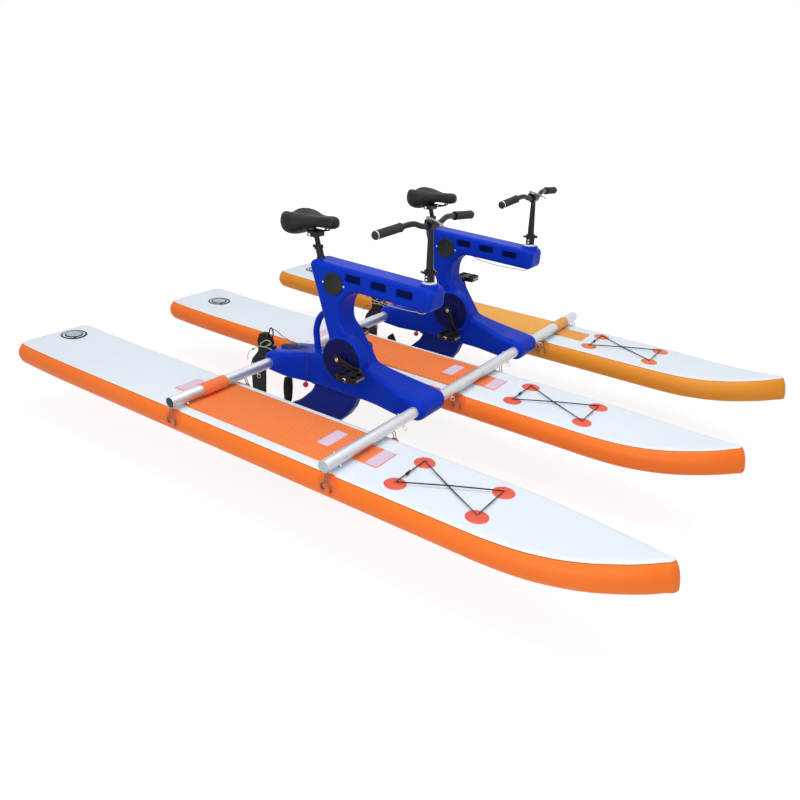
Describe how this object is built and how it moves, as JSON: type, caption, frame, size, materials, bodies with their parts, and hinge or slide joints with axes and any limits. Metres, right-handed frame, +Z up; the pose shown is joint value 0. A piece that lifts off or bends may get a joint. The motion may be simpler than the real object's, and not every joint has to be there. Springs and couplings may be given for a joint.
{
  "type": "inflatable pedal boat",
  "caption": "Inflatable pedal boat: drop-stitch hulls under two crossbars that carry pedal-drive frames with saddles, handlebars, propellers and kick-up rudders.",
  "frame": {"origin": "on the flat bottom of the centre hull, midway between the two crossbars", "axes": "+X towards the bows, +Y to port, +Z up"},
  "size_m": [3.0604, 2.228, 1.1408],
  "materials": {
    "aluminium": "satin anodised",
    "black_metal": "black satin paint",
    "black_plastic": "matt",
    "bungee_black": "woven sleeve",
    "cord_grey": "braided",
    "frame_blue": "gloss moulded polyethylene",
    "grip_rubber": "ribbed matt",
    "hull_amber": "satin PVC",
    "hull_orange": "satin PVC",
    "lever_grey": "satin",
    "saddle_cover": "soft vinyl cover",
    "steel": "bright steel",
    "strap_webbing": "woven"
  },
  "bodies": {
    "boat": {"hull_starboard": "hull_orange", "bow_bungee_starboard": "bungee_black", "front_strap_starboard": "strap_webbing", "rear_strap_starboard": "strap_webbing", "hull_centre": "hull_orange", "bow_bungee_centre": "bungee_black", "front_strap_centre": "strap_webbing", "rear_strap_centre": "strap_webbing", "hull_port": "hull_amber", "bow_bungee_port": "bungee_black", "front_strap_port": "strap_webbing", "rear_strap_port": "strap_webbing", "front_crossbar_starboard": "aluminium", "rear_crossbar_starboard": "aluminium", "front_crossbar_port": "aluminium", "rear_crossbar_port": "aluminium", "pedal_frame_starboard_unit": "frame_blue", "drive_leg_starboard_unit": "frame_blue", "lift_cord_starboard_unit": "cord_grey", "pedal_frame_port_unit": "frame_blue", "drive_leg_port_unit": "frame_blue", "lift_cord_port_unit": "cord_grey"},
    "crank_starboard_unit": {"crank_axle_starboard_unit": "steel", "crank_arm_left_starboard_unit": "black_metal", "crank_arm_right_starboard_unit": "black_metal"},
    "pedal_left_spin_starboard_unit": {"pedal_left_starboard_unit": "black_plastic"},
    "pedal_right_spin_starboard_unit": {"pedal_right_starboard_unit": "black_plastic"},
    "shaft_starboard_unit": {"drive_shaft_starboard_unit": "steel"},
    "screw_starboard_unit": {"propeller_starboard_unit": "black_plastic"},
    "rudder_head_starboard_unit": {"rudder_bracket_starboard_unit": "black_plastic"},
    "rudder_starboard_unit": {"rudder_blade_starboard_unit": "black_plastic"},
    "seat_starboard_unit": {"seat_post_starboard_unit": "black_metal", "saddle_starboard_unit": "saddle_cover"},
    "seat_clamp_starboard_unit": {"seat_lever_starboard_unit": "black_metal"},
    "steering_starboard_unit": {"steering_tube_starboard_unit": "black_metal"},
    "height_clamp_starboard_unit": {"height_lever_starboard_unit": "black_metal"},
    "steering_stem_starboard_unit": {"stem_starboard_unit": "black_metal"},
    "stem_clamp_starboard_unit": {"stem_lever_starboard_unit": "lever_grey"},
    "bar_starboard_unit": {"handlebar_starboard_unit": "black_metal", "grip_left_starboard_unit": "grip_rubber", "grip_right_starboard_unit": "grip_rubber"},
    "crank_port_unit": {"crank_axle_port_unit": "steel", "crank_arm_left_port_unit": "black_metal", "crank_arm_right_port_unit": "black_metal"},
    "pedal_left_spin_port_unit": {"pedal_left_port_unit": "black_plastic"},
    "pedal_right_spin_port_unit": {"pedal_right_port_unit": "black_plastic"},
    "shaft_port_unit": {"drive_shaft_port_unit": "steel"},
    "screw_port_unit": {"propeller_port_unit": "black_plastic"},
    "rudder_head_port_unit": {"rudder_bracket_port_unit": "black_plastic"},
    "rudder_port_unit": {"rudder_blade_port_unit": "black_plastic"},
    "seat_port_unit": {"seat_post_port_unit": "black_metal", "saddle_port_unit": "saddle_cover"},
    "seat_clamp_port_unit": {"seat_lever_port_unit": "black_metal"},
    "steering_port_unit": {"steering_tube_port_unit": "black_metal"},
    "height_clamp_port_unit": {"height_lever_port_unit": "black_metal"},
    "steering_stem_port_unit": {"stem_port_unit": "black_metal"},
    "stem_clamp_port_unit": {"stem_lever_port_unit": "lever_grey"},
    "bar_port_unit": {"handlebar_port_unit": "black_metal", "grip_left_port_unit": "grip_rubber", "grip_right_port_unit": "grip_rubber"}
  },
  "joints": [
    {"name": "crank_turn_starboard_unit", "type": "hinge", "parent": "boat", "child": "crank_starboard_unit", "pos_m": [0.01, -0.45, 0.275], "axis": [0, 1, 0], "continuous": true},
    {"name": "drive_shaft_turn_starboard_unit", "type": "hinge", "parent": "boat", "child": "shaft_starboard_unit", "pos_m": [-0.19, -0.45, -0.09], "axis": [-0.4805, 0, -0.877], "continuous": true},
    {"name": "propeller_turn_starboard_unit", "type": "hinge", "parent": "boat", "child": "screw_starboard_unit", "pos_m": [-0.19, -0.45, -0.09], "axis": [1, 0, 0], "continuous": true},
    {"name": "pedal_left_turn_starboard_unit", "type": "hinge", "parent": "crank_starboard_unit", "child": "pedal_left_spin_starboard_unit", "pos_m": [-0.10738, -0.278, 0.29995], "axis": [0, 1, 0], "continuous": true},
    {"name": "pedal_right_turn_starboard_unit", "type": "hinge", "parent": "crank_starboard_unit", "child": "pedal_right_spin_starboard_unit", "pos_m": [0.12738, -0.622, 0.25005], "axis": [0, 1, 0], "continuous": true},
    {"name": "steering_turn_starboard_unit", "type": "hinge", "parent": "boat", "child": "steering_starboard_unit", "pos_m": [0.361, -0.45, 0.65], "axis": [-0.0558, 0, 0.9984], "range_deg": [-40.5, 49.5]},
    {"name": "rudder_turn_starboard_unit", "type": "hinge", "parent": "boat", "child": "rudder_head_starboard_unit", "pos_m": [-0.452, -0.45, 0.1455], "axis": [0, 0, 1], "range_deg": [-40, 32.8]},
    {"name": "rudder_kick_up_starboard_unit", "type": "hinge", "parent": "rudder_head_starboard_unit", "child": "rudder_starboard_unit", "pos_m": [-0.51488, -0.45396, 0.19], "axis": [-0.0628, 0.998, 0], "range_deg": [0, 95]},
    {"name": "seat_height_starboard_unit", "type": "slide", "parent": "boat", "child": "seat_starboard_unit", "axis": [-0.2924, 0, 0.9563], "range_m": [-0.01, 0.05]},
    {"name": "seat_lever_turn_starboard_unit", "type": "hinge", "parent": "boat", "child": "seat_clamp_starboard_unit", "pos_m": [-0.21563, -0.45, 0.69469], "axis": [-0.2924, 0, 0.9563], "range_deg": [-120, 0]},
    {"name": "stem_height_starboard_unit", "type": "slide", "parent": "steering_starboard_unit", "child": "steering_stem_starboard_unit", "axis": [-0.0558, 0, 0.9984], "range_m": [0, 0.04]},
    {"name": "height_lever_turn_starboard_unit", "type": "hinge", "parent": "steering_starboard_unit", "child": "height_clamp_starboard_unit", "pos_m": [0.38765, -0.45231, 0.69942], "axis": [-0.0558, 0, 0.9984], "range_deg": [0, 120]},
    {"name": "stem_lever_turn_starboard_unit", "type": "hinge", "parent": "steering_stem_starboard_unit", "child": "stem_clamp_starboard_unit", "pos_m": [0.33105, -0.44874, 0.8995], "axis": [-0.0783, -0.9969, -0.0044], "range_deg": [0, 110]},
    {"name": "handlebar_roll_starboard_unit", "type": "hinge", "parent": "steering_stem_starboard_unit", "child": "bar_starboard_unit", "pos_m": [0.349, -0.45005, 0.875], "axis": [0.0783, 0.9969, 0.0044], "range_deg": [-40, 40]},
    {"name": "crank_turn_port_unit", "type": "hinge", "parent": "boat", "child": "crank_port_unit", "pos_m": [0.01, 0.45, 0.275], "axis": [0, 1, 0], "continuous": true},
    {"name": "drive_shaft_turn_port_unit", "type": "hinge", "parent": "boat", "child": "shaft_port_unit", "pos_m": [-0.19, 0.45, -0.09], "axis": [-0.4805, 0, -0.877], "continuous": true},
    {"name": "propeller_turn_port_unit", "type": "hinge", "parent": "boat", "child": "screw_port_unit", "pos_m": [-0.19, 0.45, -0.09], "axis": [1, 0, 0], "continuous": true},
    {"name": "pedal_left_turn_port_unit", "type": "hinge", "parent": "crank_port_unit", "child": "pedal_left_spin_port_unit", "pos_m": [-0.04634, 0.622, 0.38095], "axis": [0, 1, 0], "continuous": true},
    {"name": "pedal_right_turn_port_unit", "type": "hinge", "parent": "crank_port_unit", "child": "pedal_right_spin_port_unit", "pos_m": [0.06634, 0.278, 0.16905], "axis": [0, 1, 0], "continuous": true},
    {"name": "steering_turn_port_unit", "type": "hinge", "parent": "boat", "child": "steering_port_unit", "pos_m": [0.361, 0.45, 0.65], "axis": [-0.0558, 0, 0.9984], "range_deg": [-46.5, 43.5]},
    {"name": "rudder_turn_port_unit", "type": "hinge", "parent": "boat", "child": "rudder_head_port_unit", "pos_m": [-0.452, 0.45, 0.1455], "axis": [0, 0, 1], "range_deg": [-35.2, 37.6]},
    {"name": "rudder_kick_up_port_unit", "type": "hinge", "parent": "rudder_head_port_unit", "child": "rudder_port_unit", "pos_m": [-0.51499, 0.45132, 0.19], "axis": [0.0209, 0.9998, 0], "range_deg": [0, 95]},
    {"name": "seat_height_port_unit", "type": "slide", "parent": "boat", "child": "seat_port_unit", "axis": [-0.2924, 0, 0.9563], "range_m": [-0.01, 0.05]},
    {"name": "seat_lever_turn_port_unit", "type": "hinge", "parent": "boat", "child": "seat_clamp_port_unit", "pos_m": [-0.21563, 0.45, 0.69469], "axis": [-0.2924, 0, 0.9563], "range_deg": [-120, 0]},
    {"name": "stem_height_port_unit", "type": "slide", "parent": "steering_port_unit", "child": "steering_stem_port_unit", "axis": [-0.0558, 0, 0.9984], "range_m": [0, 0.04]},
    {"name": "height_lever_turn_port_unit", "type": "hinge", "parent": "steering_port_unit", "child": "height_clamp_port_unit", "pos_m": [0.38773, 0.45077, 0.69942], "axis": [-0.0558, 0, 0.9984], "range_deg": [0, 120]},
    {"name": "stem_lever_turn_port_unit", "type": "hinge", "parent": "steering_stem_port_unit", "child": "stem_clamp_port_unit", "pos_m": [0.33101, 0.44958, 0.8995], "axis": [0.0261, -0.9997, 0.0015], "range_deg": [0, 110]},
    {"name": "handlebar_roll_port_unit", "type": "hinge", "parent": "steering_stem_port_unit", "child": "bar_port_unit", "pos_m": [0.349, 0.45002, 0.875], "axis": [-0.0261, 0.9997, -0.0015], "range_deg": [-40, 40]}
  ],
  "couplings": [
    {"joint": "drive_shaft_turn_starboard_unit", "follows": "crank_turn_starboard_unit", "ratio": -3},
    {"joint": "propeller_turn_starboard_unit", "follows": "crank_turn_starboard_unit", "ratio": -6},
    {"joint": "rudder_turn_starboard_unit", "follows": "steering_turn_starboard_unit", "ratio": -0.8},
    {"joint": "drive_shaft_turn_port_unit", "follows": "crank_turn_port_unit", "ratio": -3},
    {"joint": "propeller_turn_port_unit", "follows": "crank_turn_port_unit", "ratio": -6},
    {"joint": "rudder_turn_port_unit", "follows": "steering_turn_port_unit", "ratio": -0.8}
  ]
}
